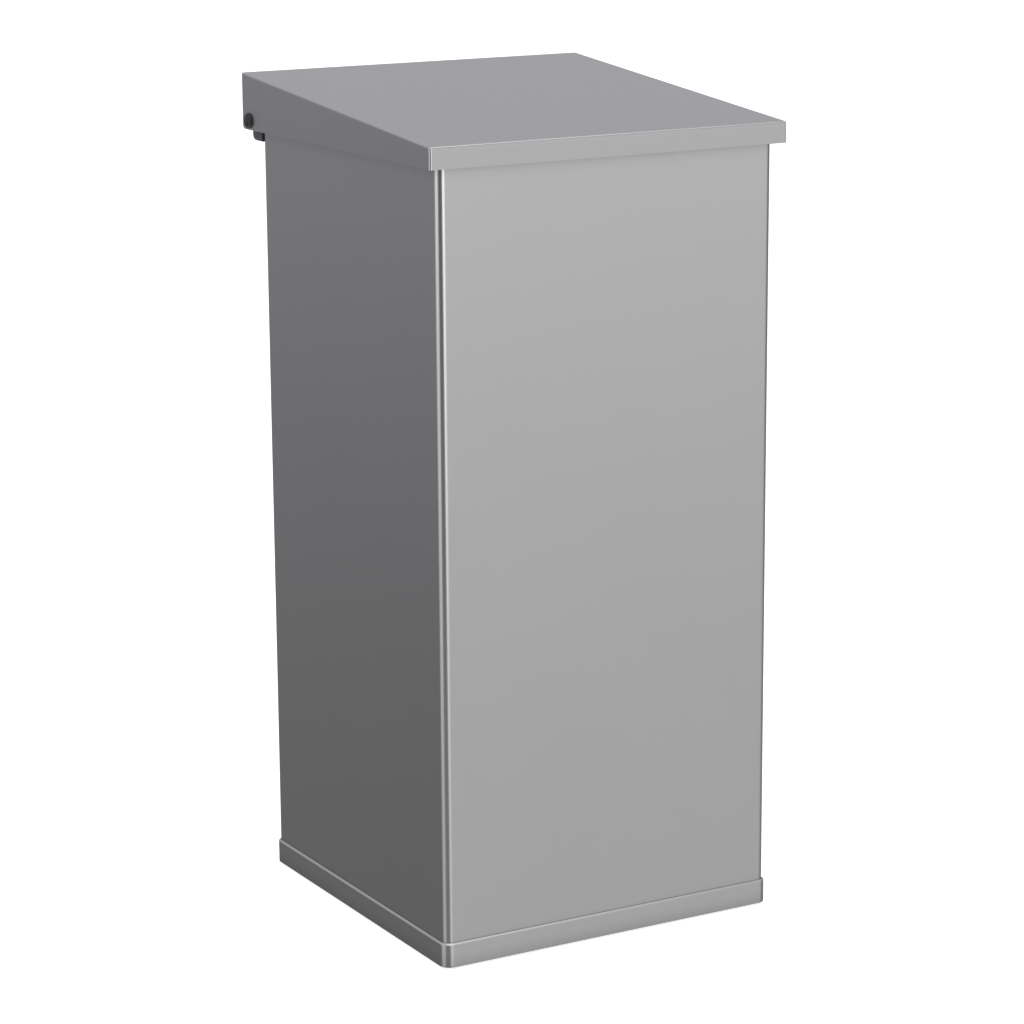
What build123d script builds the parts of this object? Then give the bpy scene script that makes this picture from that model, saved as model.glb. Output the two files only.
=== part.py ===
# Lift-lid waste bin: a square folded-sheet body on a plinth, with a sloping lid hinged at the back.
# Millimetres. X runs to the right along the front, the front faces -Y, Z is up.
# The origin lies on the floor, under the middle of the lid's outline.
from build123d import *
import os
from math import cos, hypot, radians, sin, sqrt

# Body shell
body_width = 300.0
body_depth = 300.0
mouth_height = 643.0
corner_radius = 7.0
shell_sheet = 1.2
rear_return = 50.0
panel_edge_gap = 1.0
bottom_flange = 16.0
flange_gap = 0.6

# Base tray, whose rim is the plinth
foot_height = 1.5
tray_floor = 1.8
tray_wall = 1.8
tray_bottom_round = 0.6
tray_fit = 0.2
plinth_height = 20.0
plinth_bevel = 1.4

# Push-in feet
foot_radius = 11.0
foot_inset = 38.0
foot_stem_radius = 3.0
foot_stem_fit = 0.2
foot_barb_radius = 4.4
foot_barb_height = 2.4
foot_edge_round = 0.5

# Lid
lid_sheet = 1.2
lid_lap = 13.0
lid_lip_height = 17.0
lid_rise = 29.0
lid_side_overhang = 9.2
lid_front_overhang = 5.6
lid_rear_overhang = 17.6
lid_corner_radius = 2.0
lid_fold_radius = 1.5
skirt_corner_radius = 6.0

# Hinge axis and rod
axis_behind_body = 4.2
axis_above_skirt = 7.5
lid_stop_angle = 106.5
rod_radius = 3.0
rod_running_clearance = 0.05
rod_fit = 0.1
rod_end_proud = 2.0
rod_end_chamfer = 0.5
cap_radius = 6.25
cap_height = 3.6
cap_edge = 0.8
cap_floor_gap = 0.3

# Lid bushes
bush_sleeve_radius = 5.5
bush_neck_radius = 4.4
bush_neck_fit = 0.1
bush_end_gap = 0.3

# Hinge blocks, their inserts, screws and backing plates
block_width = 40.0
block_inset = 0.0
block_drop = 17.5
block_bottom_round = 5.0
block_top_round = 3.0
block_edge_round = 0.8
block_under_notch = 3.0
screw_below_axis = 10.0
screw_spacing = 20.0
screw_edge = 6.0
screw_radius = 2.5
screw_fit = 0.1
screw_reach = 14.0
screw_head_radius = 4.5
screw_head_height = 2.8
screw_head_edge = 1.4
screw_socket_flats = 3.0
screw_socket_depth = 1.6
insert_radius = 3.5
insert_length = 12.0
insert_setback = 0.5
plate_thickness = 2.5
plate_margin = 6.0
plate_height = 16.0
plate_corner = 2.0

# Rear flange of the lid
notch_side_gap = 2.0
notch_clearance = 0.5
notch_corner = 2.0
notch_outer_lip = 2.3

# Mouth frame
frame_sheet = 1.5
frame_flange = 20.0
frame_leg = 24.0
frame_fit = 0.1

# Bag ring
ring_sheet = 1.5
ring_overlap = 8.0
ring_gap = 1.0
ring_skirt = 25.0
ring_tab_width = 36.0
ring_tab_height = 10.0
ring_tab_round = 6.0

# Lid buffers
buffer_radius = 4.5
buffer_inset = 6.0
buffer_stem_radius = 2.0
buffer_stem_fit = 0.1
buffer_barb_radius = 2.9
buffer_barb_height = 2.0
buffer_rest_gap = 0.3
buffer_shoulder = 2.5

# Blind rivets
rivet_radius = 1.6
rivet_fit = 0.05
rivet_head_radius = 3.6
rivet_head_height = 1.1
rivet_head_edge = 0.28
rivet_tail_radius = 2.3
rivet_tail_height = 1.0
seam_rivet_inset = 7.5
seam_rivet_count = 6
seam_rivet_margin = 40.0
frame_rivet_drop = 9.0
frame_rivet_spacing = 180.0
rear_rivet_spacing = 120.0
base_rivet_inset = 7.5
base_rivet_spacing = 200.0
base_end_spacing = 100.0

# Levels and planes worked out from the sizes above
half_width = body_width / 2
body_middle = (lid_front_overhang - lid_rear_overhang) / 2
body_front = body_middle - body_depth / 2
body_rear = body_middle + body_depth / 2
tray_top = foot_height + tray_floor
shell_height = mouth_height - tray_top
inner_half_width = half_width - shell_sheet
inner_front = body_front + shell_sheet
return_inner = body_rear - shell_sheet
panel_inner = return_inner - shell_sheet
panel_half_width = half_width - corner_radius - panel_edge_gap
window_half_width = half_width - rear_return

skirt_bottom = mouth_height - lid_lap
lid_half_width = half_width + lid_side_overhang
lid_front = body_front - lid_front_overhang
lid_rear = body_rear + lid_rear_overhang
lid_depth = lid_rear - lid_front
lip_top = skirt_bottom + lid_lip_height
lid_slope = lid_rise / lid_depth
lid_rear_top = lip_top + lid_rise

axis_y = body_rear + axis_behind_body
axis_z = skirt_bottom + axis_above_skirt
block_outer = half_width - block_inset
block_inner = block_outer - block_width
block_middle = (block_outer + block_inner) / 2
block_rear_reach = lid_rear - axis_y
screw_z = axis_z - screw_below_axis
screw_middle = panel_half_width - screw_edge - screw_spacing / 2

# The lid's rear flange is notched over each block. Its notch rises far enough above the axis for
# the flange's inner edge to swing past the block's farthest point.
flange_inner_reach = block_rear_reach - lid_sheet
block_reach = hypot(block_rear_reach - block_bottom_round, block_drop - block_bottom_round)
block_reach = block_reach + block_bottom_round
notch_rise = sqrt((block_reach + notch_clearance) ** 2 - flange_inner_reach ** 2)
block_rise = notch_rise - block_under_notch

# Between the blocks the flange reaches to just below the axis, so that its lower edge meets the
# back of the body at the stop angle and holds the open lid.
stop = radians(lid_stop_angle)
flange_drop = (axis_behind_body + block_rear_reach * cos(stop)) / sin(stop)

frame_half_width = inner_half_width - frame_fit
frame_front = inner_front + frame_fit
frame_rear = panel_inner - frame_fit
frame_corner = corner_radius - shell_sheet - frame_fit
frame_leg_inner = frame_rear - frame_sheet
opening_half_width = frame_half_width - frame_flange
opening_front = frame_front + frame_flange
opening_rear = frame_rear - frame_flange

os.makedirs("parts", exist_ok=True)


def finish(builder, name):
    """Label a finished sub-part and write its STEP file."""
    builder.part.label = name
    export_step(builder.part, f"parts/{name}.step")


def facing(origin, outward):
    """A plane at a hole's mouth, facing out of the sheet."""
    return Plane(origin=origin, z_dir=outward)


def lengthwise(origin, outward):
    """A plane through a fastener's axis: its X runs outwards and its Y is a radius."""
    along = Vector(*outward)
    across = Vector(0, 0, 1) if abs(along.Z) < 0.5 else Vector(1, 0, 0)
    return Plane(origin=origin, x_dir=along, z_dir=along.cross(across))


def drill(places, radius, depth):
    """Cut round holes at a list of (origin, outward) places, through the sheets behind them."""
    for origin, outward in places:
        with BuildSketch(facing(origin, outward)) as hole:
            Circle(radius)
        extrude(hole.sketch, amount=depth, both=True, mode=Mode.SUBTRACT)


def turn(origin, outward, outline):
    """Turn an outline of (along, radius) points about a fastener's axis."""
    with BuildSketch(lengthwise(origin, outward)) as profile:
        with BuildLine():
            Polyline(*outline, close=True)
        make_face()
    revolve(profile.sketch, axis=Axis(origin, outward))


def dome_outline(height, edge, radius, steps=8):
    """Points of a shallow dome from its pole down to the top of its straight edge."""
    rise = height - edge
    sphere = (radius ** 2 + rise ** 2) / (2 * rise)
    radii = [radius * step / steps for step in range(steps + 1)]
    return [(height - sphere + sqrt(sphere ** 2 - r ** 2), r) for r in radii]


def blind_rivet(origin, outward, grip):
    """A set blind rivet: shallow domed head outside, shank through the sheets, tail inside."""
    head = dome_outline(rivet_head_height, rivet_head_edge, rivet_head_radius)
    shank = [(0, rivet_head_radius), (0, rivet_radius), (-grip, rivet_radius)]
    tail_end = -grip - rivet_tail_height
    tail = [(-grip, rivet_tail_radius), (tail_end, rivet_tail_radius), (tail_end, 0)]
    turn(origin, outward, head + shank + tail)


def box_outline(x_low, x_high, y_low, y_high, radius):
    """A rounded rectangle given by its sides, in the open sketch."""
    middle = ((x_low + x_high) / 2, (y_low + y_high) / 2)
    with Locations(middle):
        RectangleRounded(x_high - x_low, y_high - y_low, radius)


# Rivet and screw places, each an (origin, outward) pair
seam_span = mouth_height - frame_leg - 2 * seam_rivet_margin
seam_step = seam_span / (seam_rivet_count - 1)
seam_heights = [seam_rivet_margin + row * seam_step for row in range(seam_rivet_count)]
seam_rivet_x = window_half_width + seam_rivet_inset
seam_places = [((sign * seam_rivet_x, body_rear, height), (0, 1, 0))
               for sign in (-1, 1) for height in seam_heights]

frame_rivet_z = mouth_height - frame_rivet_drop
frame_side_places = [((sign * half_width, body_middle + offset, frame_rivet_z), (sign, 0, 0))
                     for sign in (-1, 1)
                     for offset in (-frame_rivet_spacing / 2, frame_rivet_spacing / 2)]
frame_front_places = [((offset, body_front, frame_rivet_z), (0, -1, 0))
                      for offset in (-frame_rivet_spacing / 2, frame_rivet_spacing / 2)]
frame_rear_places = [((offset, return_inner, frame_rivet_z), (0, 1, 0))
                     for offset in (-rear_rivet_spacing / 2, rear_rivet_spacing / 2)]

base_rivet_z = tray_top + shell_sheet
base_side_places = [((sign * (inner_half_width - base_rivet_inset), body_middle + offset,
                      base_rivet_z), (0, 0, 1))
                    for sign in (-1, 1)
                    for offset in (-base_rivet_spacing / 2, base_rivet_spacing / 2)]
base_front_places = [((offset, inner_front + base_rivet_inset, base_rivet_z), (0, 0, 1))
                     for offset in (-base_end_spacing / 2, base_end_spacing / 2)]
base_rear_places = [((offset, panel_inner - base_rivet_inset, base_rivet_z), (0, 0, 1))
                    for offset in (-base_end_spacing / 2, base_end_spacing / 2)]

screw_places = [((sign * (screw_middle + offset), body_rear, screw_z), (0, 1, 0))
                for sign in (-1, 1) for offset in (-screw_spacing / 2, screw_spacing / 2)]

foot_places = {}
for depth_name, foot_y in (("front", body_front + foot_inset), ("rear", body_rear - foot_inset)):
    for side_name, sign in (("left", -1), ("right", 1)):
        foot_places[f"foot_{depth_name}_{side_name}"] = (sign * (half_width - foot_inset), foot_y)

buffer_y = inner_front + buffer_inset
buffer_x = inner_half_width - buffer_inset

# Base tray: a flat floor with an upstanding rim that stands proud of the body as its plinth
tray_half_width = half_width + tray_fit + tray_wall
tray_front = body_front - tray_fit - tray_wall
tray_rear = body_rear + tray_fit + tray_wall
with BuildPart() as base_tray:
    with BuildSketch(Plane.XY.offset(foot_height)):
        box_outline(-tray_half_width, tray_half_width, tray_front, tray_rear,
                    corner_radius + tray_fit + tray_wall)
    extrude(amount=plinth_height)
    with BuildSketch(Plane.XY.offset(tray_top)):
        box_outline(-half_width - tray_fit, half_width + tray_fit,
                    body_front - tray_fit, body_rear + tray_fit, corner_radius + tray_fit)
    extrude(amount=plinth_height, mode=Mode.SUBTRACT)
    rim_outline = base_tray.faces().sort_by(Axis.Z)[-1].outer_wire().edges()
    chamfer(rim_outline, length=plinth_bevel)
    underside = base_tray.faces().sort_by(Axis.Z)[0].outer_wire().edges()
    fillet(underside, radius=tray_bottom_round)
    drill(base_side_places + base_front_places + base_rear_places,
          rivet_radius + rivet_fit, 2 * tray_top)
    with BuildSketch(Plane.XY):
        with Locations(*foot_places.values()):
            Circle(foot_stem_radius + foot_stem_fit)
    extrude(amount=2 * tray_top, mode=Mode.SUBTRACT)
finish(base_tray, "base_tray")

# Push-in feet: a disc under the tray, a stem through its floor and a barb above it
for foot_name, (foot_x, foot_y) in foot_places.items():
    with BuildPart() as foot:
        turn((foot_x, foot_y, 0), (0, 0, 1),
             [(0, 0), (0, foot_radius - foot_edge_round), (foot_edge_round, foot_radius),
              (foot_height, foot_radius), (foot_height, foot_stem_radius),
              (tray_top, foot_stem_radius), (tray_top, foot_barb_radius),
              (tray_top + foot_barb_height, foot_stem_radius),
              (tray_top + foot_barb_height, 0)])
    finish(foot, foot_name)

# Body wrap: one sheet folded round the front and both sides, with a return at each rear corner
with BuildPart() as body_wrap:
    with BuildSketch(Plane.XY.offset(tray_top)):
        box_outline(-half_width, half_width, body_front, body_rear, corner_radius)
    extrude(amount=shell_height)
    with BuildSketch(Plane.XY.offset(tray_top + shell_sheet)):
        box_outline(-inner_half_width, inner_half_width, inner_front, return_inner,
                    corner_radius - shell_sheet)
    extrude(amount=shell_height, mode=Mode.SUBTRACT)
    floor_opening_rear = panel_inner - bottom_flange - flange_gap
    with BuildSketch(Plane.XY.offset(tray_top)):
        box_outline(bottom_flange - inner_half_width, inner_half_width - bottom_flange,
                    inner_front + bottom_flange, return_inner, corner_radius - shell_sheet)
        box_outline(-inner_half_width, inner_half_width, floor_opening_rear, return_inner,
                    corner_radius - shell_sheet)
    extrude(amount=shell_sheet, mode=Mode.SUBTRACT)
    with BuildSketch(Plane.XY.offset(tray_top)):
        with Locations((0, body_rear)):
            Rectangle(2 * window_half_width, 4 * shell_sheet)
    extrude(amount=shell_height, mode=Mode.SUBTRACT)
    drill(seam_places + frame_side_places + frame_front_places,
          rivet_radius + rivet_fit, 2 * shell_sheet)
    drill(base_side_places + base_front_places, rivet_radius + rivet_fit, 2 * shell_sheet)
    drill(screw_places, screw_radius + screw_fit, 2 * shell_sheet)
finish(body_wrap, "body_wrap")

# Rear panel: lapped inside the returns, with its own inward flange on the tray's floor
with BuildPart() as rear_panel:
    with BuildSketch(Plane.XY.offset(tray_top)):
        with Locations((0, (panel_inner + return_inner) / 2)):
            Rectangle(2 * panel_half_width, shell_sheet)
    extrude(amount=shell_height)
    with BuildSketch(Plane.XY.offset(tray_top)):
        with Locations((0, panel_inner - bottom_flange / 2)):
            Rectangle(2 * panel_half_width, bottom_flange)
    extrude(amount=shell_sheet)
    drill(seam_places + frame_rear_places, rivet_radius + rivet_fit, 3 * shell_sheet)
    drill(base_rear_places, rivet_radius + rivet_fit, 2 * shell_sheet)
    drill(screw_places, screw_radius + screw_fit, 3 * shell_sheet)
finish(rear_panel, "rear_panel")

# Mouth frame: a ring of angle section inside the top of the shell
with BuildPart() as top_frame:
    with BuildSketch(Plane.XY.offset(mouth_height - frame_leg)):
        box_outline(-frame_half_width, frame_half_width, frame_front, frame_rear, frame_corner)
    extrude(amount=frame_leg)
    with BuildSketch(Plane.XY.offset(mouth_height - frame_leg)):
        box_outline(frame_sheet - frame_half_width, frame_half_width - frame_sheet,
                    frame_front + frame_sheet, frame_leg_inner, frame_corner - frame_sheet)
    extrude(amount=frame_leg - frame_sheet, mode=Mode.SUBTRACT)
    with BuildSketch(Plane.XY.offset(mouth_height - frame_leg)):
        box_outline(-opening_half_width, opening_half_width, opening_front, opening_rear,
                    frame_corner)
    extrude(amount=frame_leg, mode=Mode.SUBTRACT)
    drill(frame_side_places + frame_front_places + frame_rear_places,
          rivet_radius + rivet_fit, shell_sheet + frame_fit + 2 * frame_sheet)
    drill(screw_places, screw_radius + screw_fit, 2 * shell_sheet + frame_fit + 2 * frame_sheet)
    with BuildSketch(Plane.XY.offset(mouth_height)):
        with Locations((-buffer_x, buffer_y), (buffer_x, buffer_y)):
            Circle(buffer_stem_radius + buffer_stem_fit)
    extrude(amount=-2 * frame_sheet, mode=Mode.SUBTRACT)
finish(top_frame, "top_frame")

# Bag ring: rests on the mouth frame and holds a bag's edge; two tabs lift it out
ring_half_width = opening_half_width - ring_gap
ring_front = opening_front + ring_gap
ring_rear = opening_rear - ring_gap
with BuildPart() as bag_ring:
    with BuildSketch(Plane.XY.offset(mouth_height)):
        box_outline(-opening_half_width - ring_overlap, opening_half_width + ring_overlap,
                    opening_front - ring_overlap, opening_rear + ring_overlap,
                    frame_corner + ring_overlap)
    extrude(amount=ring_sheet)
    with BuildSketch(Plane.XY.offset(mouth_height - ring_skirt)):
        box_outline(-ring_half_width, ring_half_width, ring_front, ring_rear, frame_corner)
    extrude(amount=ring_skirt)
    with BuildSketch(Plane.XY.offset(mouth_height - ring_skirt)):
        box_outline(ring_sheet - ring_half_width, ring_half_width - ring_sheet,
                    ring_front + ring_sheet, ring_rear - ring_sheet, frame_corner - ring_sheet)
    extrude(amount=ring_skirt + ring_sheet, mode=Mode.SUBTRACT)
    for sign in (-1, 1):
        tab_x = sign * (ring_half_width - ring_sheet / 2)
        tab_foot = (tab_x, body_middle, mouth_height)
        with BuildSketch(Plane(origin=tab_foot, x_dir=(0, 1, 0), z_dir=(1, 0, 0))) as tab:
            with Locations((0, (ring_sheet + ring_tab_height) / 2)):
                Rectangle(ring_tab_width, ring_sheet + ring_tab_height)
            fillet(tab.vertices().group_by(Axis.Y)[-1], radius=ring_tab_round)
        extrude(amount=ring_sheet / 2, both=True)
finish(bag_ring, "bag_ring")

# Blind rivets, one node for each seam
frame_grip = shell_sheet + frame_fit + frame_sheet
rivet_seams = {
    "seam_rivets": [(seam_places, 2 * shell_sheet)],
    "frame_rivets": [(frame_side_places + frame_front_places + frame_rear_places, frame_grip)],
    "base_rivets": [(base_side_places + base_front_places + base_rear_places,
                     shell_sheet + tray_floor)],
}
for seam_name, groups in rivet_seams.items():
    with BuildPart() as rivets:
        for places, grip in groups:
            for origin, outward in places:
                blind_rivet(origin, outward, grip)
    finish(rivets, seam_name)

# Lid buffers: rubber buttons pushed into the mouth frame, which the closed lid rests on
lid_underside = lip_top - lid_sheet * hypot(1, lid_slope) + lid_slope * (buffer_y - lid_front)
buffer_height = lid_underside - mouth_height - buffer_rest_gap
for side_name, sign in (("left", -1), ("right", 1)):
    with BuildPart() as lid_buffer:
        crown = dome_outline(buffer_height, buffer_shoulder, buffer_radius)
        stem_end = -frame_sheet - buffer_barb_height
        turn((sign * buffer_x, buffer_y, mouth_height), (0, 0, 1),
             crown + [(0, buffer_radius), (0, buffer_stem_radius),
                      (-frame_sheet, buffer_stem_radius), (-frame_sheet, buffer_barb_radius),
                      (stem_end, buffer_stem_radius / 2), (stem_end, 0)])
    finish(lid_buffer, f"lid_buffer_{side_name}")

# Hinge blocks: moulded blocks behind the body, bored for the rod and for two threaded inserts
block_bottom = axis_z - block_drop
block_top = axis_z + block_rise
insert_start = body_rear + insert_setback
for side_name, sign in (("left", -1), ("right", 1)):
    middle_x = sign * block_middle
    with BuildPart() as hinge_block:
        block_side = Plane(origin=(middle_x, 0, 0), x_dir=(0, 1, 0), z_dir=(1, 0, 0))
        with BuildSketch(block_side) as outline:
            with Locations(((body_rear + lid_rear) / 2, (block_bottom + block_top) / 2)):
                Rectangle(lid_rear_overhang, block_top - block_bottom)
            back_corners = outline.vertices().group_by(Axis.X)[-1].sort_by(Axis.Y)
            fillet(back_corners[0], radius=block_bottom_round)
            fillet(outline.vertices().group_by(Axis.Y)[-1].sort_by(Axis.X)[-1],
                   radius=block_top_round)
        extrude(amount=block_width / 2, both=True)
        ends = hinge_block.faces().filter_by(Axis.X).edges()
        chamfer(ends.filter_by(lambda edge: edge.center().Y > body_rear + block_edge_round),
                length=block_edge_round)
        with BuildSketch(block_side):
            with Locations((axis_y, axis_z)):
                Circle(rod_radius + rod_running_clearance)
        extrude(amount=block_width, both=True, mode=Mode.SUBTRACT)
        own_screws = [place for place in screw_places if place[0][0] * sign > 0]
        drill(own_screws, insert_radius + screw_fit / 2, insert_setback + insert_length)
        drill(own_screws, screw_radius + screw_fit, screw_reach + screw_radius)
    finish(hinge_block, f"hinge_block_{side_name}")

# Threaded inserts in the blocks
with BuildPart() as hinge_inserts:
    for (screw_x, _, screw_height), outward in screw_places:
        turn((screw_x, insert_start, screw_height), outward,
             [(0, screw_radius + screw_fit / 2), (0, insert_radius),
              (insert_length, insert_radius), (insert_length, screw_radius + screw_fit / 2)])
finish(hinge_inserts, "hinge_inserts")

# Backing plates inside the mouth frame, which spread the load of the hinge screws
for side_name, sign in (("left", -1), ("right", 1)):
    with BuildPart() as hinge_plate:
        with BuildSketch(Plane(origin=(sign * screw_middle, frame_leg_inner, screw_z),
                               x_dir=(1, 0, 0), z_dir=(0, -1, 0))):
            RectangleRounded(screw_spacing + 2 * plate_margin, plate_height, plate_corner)
        extrude(amount=plate_thickness)
        own_screws = [place for place in screw_places if place[0][0] * sign > 0]
        drill(own_screws, screw_radius + screw_fit, lid_rear_overhang)
    finish(hinge_plate, f"hinge_plate_{side_name}")

# Hinge screws: driven from inside the bin, with a hexagon socket in each head
plate_face = frame_leg_inner - plate_thickness
screw_end = body_rear + screw_reach
with BuildPart() as hinge_screws:
    for (screw_x, _, screw_height), _ in screw_places:
        head_start = (screw_x, plate_face, screw_height)
        head = dome_outline(screw_head_height, screw_head_edge, screw_head_radius)
        turn(head_start, (0, -1, 0),
             head + [(0, screw_head_radius), (0, screw_radius),
                     (plate_face - screw_end, screw_radius), (plate_face - screw_end, 0)])
        with BuildSketch(Plane(origin=(screw_x, plate_face - screw_head_height, screw_height),
                               z_dir=(0, -1, 0))) as socket:
            RegularPolygon(radius=screw_socket_flats / 2, side_count=6, major_radius=False)
        extrude(socket.sketch, amount=-screw_socket_depth, mode=Mode.SUBTRACT)
finish(hinge_screws, "hinge_screws")

# Hinge rod: turns in the blocks and carries the lid at both ends
rod_end = lid_half_width + rod_end_proud
with BuildPart() as hinge_rod:
    turn((0, axis_y, axis_z), (1, 0, 0),
         [(-rod_end, 0), (-rod_end, rod_radius - rod_end_chamfer),
          (rod_end_chamfer - rod_end, rod_radius), (rod_end - rod_end_chamfer, rod_radius),
          (rod_end, rod_radius - rod_end_chamfer), (rod_end, 0)])
finish(hinge_rod, "hinge_rod")

# Rod caps and lid bushes, one of each at either side
skirt_inner = lid_half_width - lid_sheet
bush_bore = rod_radius + rod_fit
bush_end = block_outer + bush_end_gap
for side_name, sign in (("left", -1), ("right", 1)):
    outwards = (sign, 0, 0)
    with BuildPart() as rod_cap:
        cap_floor = rod_end_proud + cap_floor_gap
        turn((sign * lid_half_width, axis_y, axis_z), outwards,
             dome_outline(cap_height, cap_edge, cap_radius)
             + [(0, cap_radius), (0, bush_bore), (cap_floor, bush_bore), (cap_floor, 0)])
    finish(rod_cap, f"rod_cap_{side_name}")
    with BuildPart() as lid_bush:
        turn((0, axis_y, axis_z), outwards,
             [(bush_end, bush_bore), (bush_end, bush_sleeve_radius),
              (skirt_inner, bush_sleeve_radius), (skirt_inner, bush_neck_radius),
              (lid_half_width, bush_neck_radius), (lid_half_width, bush_bore)])
    finish(lid_bush, f"lid_bush_{side_name}")

# Lid: one folded sheet with a sloping top, a front lip, side skirts and a notched rear flange
flange_bottom = axis_z - flange_drop
notch_top = axis_z + notch_rise
notch_inner = block_inner - notch_side_gap
notch_outer = skirt_inner - notch_outer_lip
hollow_lip_top = lip_top + lid_slope * lid_sheet - lid_sheet * hypot(1, lid_slope)
hollow_rise = lid_slope * (lid_depth - 2 * lid_sheet)
with BuildPart() as lid_hollow:
    with BuildSketch(Plane.YZ):
        with BuildLine():
            Polyline((lid_front + lid_sheet, skirt_bottom - lid_sheet),
                     (lid_front + lid_sheet, hollow_lip_top),
                     (lid_rear - lid_sheet, hollow_lip_top + hollow_rise),
                     (lid_rear - lid_sheet, skirt_bottom - lid_sheet), close=True)
        make_face()
    extrude(amount=lid_half_width - lid_sheet, both=True)
    fillet(lid_hollow.edges().filter_by(Axis.Z), radius=lid_corner_radius - lid_sheet)
with BuildPart() as lid_panel:
    with BuildSketch(Plane.YZ):
        with BuildLine():
            Polyline((lid_front, skirt_bottom), (lid_front, lip_top),
                     (lid_rear, lid_rear_top), (lid_rear, skirt_bottom), close=True)
        make_face()
    extrude(amount=lid_half_width, both=True)
    fillet(lid_panel.edges().filter_by(Axis.Z), radius=lid_corner_radius)
    top_face = lid_panel.faces().sort_by(Axis.Z)[-1]
    fillet(top_face.outer_wire().edges(), radius=lid_fold_radius)
    add(lid_hollow.part, mode=Mode.SUBTRACT)
    flange_plane = Plane(origin=(0, lid_rear, 0), x_dir=(1, 0, 0), z_dir=(0, -1, 0))
    flange_depth = 2 * lid_sheet
    with BuildSketch(flange_plane):
        box_outline(-notch_inner - notch_corner, notch_inner + notch_corner,
                    skirt_bottom - notch_corner, flange_bottom, notch_corner / 2)
    extrude(amount=flange_depth, mode=Mode.SUBTRACT)
    for sign in (-1, 1):
        with BuildSketch(flange_plane):
            with Locations((sign * (notch_inner + notch_outer) / 2, notch_top)):
                RectangleRounded(notch_outer - notch_inner, 2 * (notch_top - skirt_bottom),
                                 notch_corner, align=(Align.CENTER, Align.MAX))
        extrude(amount=flange_depth, mode=Mode.SUBTRACT)
    corner_y = lid_rear - skirt_corner_radius
    corner_z = skirt_bottom + skirt_corner_radius
    with BuildSketch(Plane.YZ):
        with Locations((corner_y, corner_z)):
            Rectangle(2 * skirt_corner_radius, 2 * skirt_corner_radius,
                      align=(Align.MIN, Align.MAX))
            Circle(skirt_corner_radius, mode=Mode.SUBTRACT)
    extrude(amount=2 * lid_half_width, both=True, mode=Mode.SUBTRACT)
    with BuildSketch(Plane.YZ):
        with Locations((axis_y, axis_z)):
            Circle(bush_neck_radius + bush_neck_fit)
    extrude(amount=2 * lid_half_width, both=True, mode=Mode.SUBTRACT)
finish(lid_panel, "lid_panel")
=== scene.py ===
from math import pi, radians

import bmesh
import bpy
import numpy as np
from bpy.props import FloatProperty, FloatVectorProperty, IntProperty, PointerProperty
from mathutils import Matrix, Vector


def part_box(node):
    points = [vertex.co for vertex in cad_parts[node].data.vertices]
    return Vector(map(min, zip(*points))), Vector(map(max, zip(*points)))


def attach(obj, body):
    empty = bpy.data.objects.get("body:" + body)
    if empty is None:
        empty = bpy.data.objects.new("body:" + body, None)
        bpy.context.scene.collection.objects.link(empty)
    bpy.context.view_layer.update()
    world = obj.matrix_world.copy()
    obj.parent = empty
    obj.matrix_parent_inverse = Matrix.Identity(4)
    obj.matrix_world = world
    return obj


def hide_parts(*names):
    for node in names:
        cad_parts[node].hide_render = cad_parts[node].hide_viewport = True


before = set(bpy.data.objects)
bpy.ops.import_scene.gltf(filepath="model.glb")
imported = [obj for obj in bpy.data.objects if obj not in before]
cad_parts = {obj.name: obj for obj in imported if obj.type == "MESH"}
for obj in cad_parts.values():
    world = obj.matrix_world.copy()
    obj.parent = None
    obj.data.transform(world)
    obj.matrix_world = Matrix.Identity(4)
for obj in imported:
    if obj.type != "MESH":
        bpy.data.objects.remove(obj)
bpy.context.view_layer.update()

bl_info = {
    "name": "Lift-lid waste bin",
    "version": (1, 0, 0),
    "blender": (4, 5, 0),
    "location": "View3D > Sidebar > Waste Bin",
    "description": "Folded-sheet waste bin on a plinth, with a sloping hinged lid",
    "category": "Object",
}

MM = 0.001
MERGE_DISTANCE, SLIVER_LENGTH = 2e-6, 1e-7
SHARP_ANGLE, CUT_ANGLE = radians(45), radians(50)
BIN = "bin"
LID = "lid"
SHELL_LOW, SHELL_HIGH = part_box("body_wrap")
TRAY_LOW, TRAY_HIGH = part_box("base_tray")
COVER_LOW, COVER_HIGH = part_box("lid_panel")
BLOCK_LOW, BLOCK_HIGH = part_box("hinge_block_right")
SEAM_LOW, SEAM_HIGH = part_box("seam_rivets")
ROD_LOW, ROD_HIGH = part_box("hinge_rod")
CAP_LOW, CAP_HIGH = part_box("rod_cap_right")


def colour(name, description, default):
    """A colour property with the usual limits."""
    return FloatVectorProperty(name=name, description=description, default=default,
                               subtype="COLOR", size=3, min=0.0, max=1.0)


def length(name, description, default):
    """A length property in metres."""
    return FloatProperty(name=name, description=description, default=default, unit="LENGTH",
                         min=0.0, precision=4)


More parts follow.
